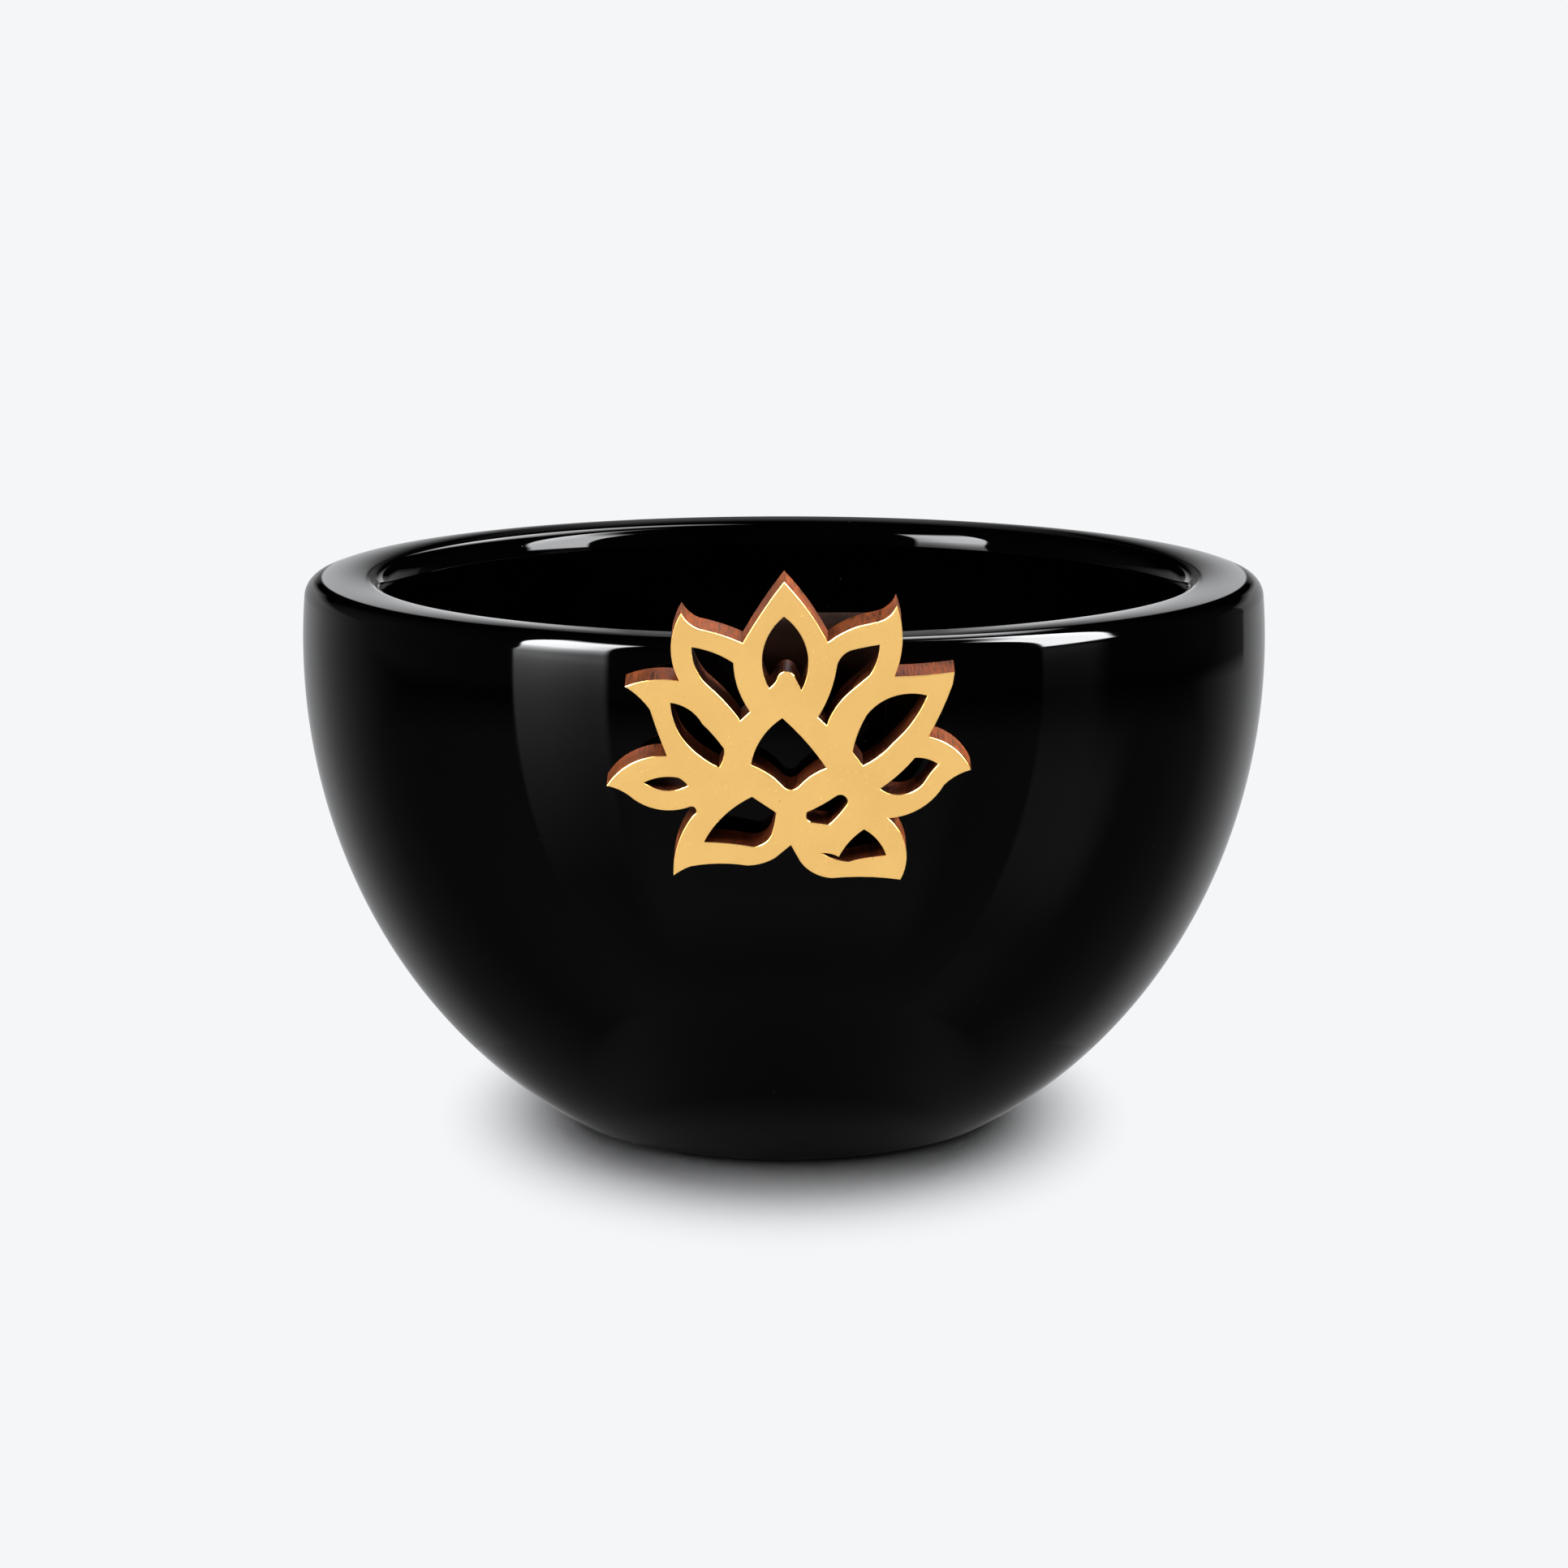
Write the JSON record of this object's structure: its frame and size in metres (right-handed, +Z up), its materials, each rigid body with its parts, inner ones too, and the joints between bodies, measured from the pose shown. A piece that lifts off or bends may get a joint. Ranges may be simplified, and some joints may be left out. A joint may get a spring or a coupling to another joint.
{
  "type": "marble bowl",
  "caption": "Round polished black marble bowl with a thick wall, a rounded rim and a flat base, and a pierced brass lotus that hooks over the rim and lifts off.",
  "frame": {"origin": "centre of the flat base, on the surface that the bowl stands on", "axes": "+Z up along the bowl's axis, -Y towards the side that the lotus hangs on, X across the lotus"},
  "size_m": [0.127, 0.137, 0.0827],
  "materials": {
    "marble": "polished",
    "lotus_brass": "satin face, dark cut sides",
    "hook_brass": "dark patina"
  },
  "bodies": {
    "bowl": {"marble_bowl": "marble"},
    "lotus": {"lotus_plate": "lotus_brass", "rim_hook": "hook_brass"}
  },
  "joints": [
    {"name": "lotus_lift", "type": "slide", "parent": "bowl", "child": "lotus", "axis": [0, -0.2079, 0.9781], "range_m": [0, 0.012]}
  ]
}
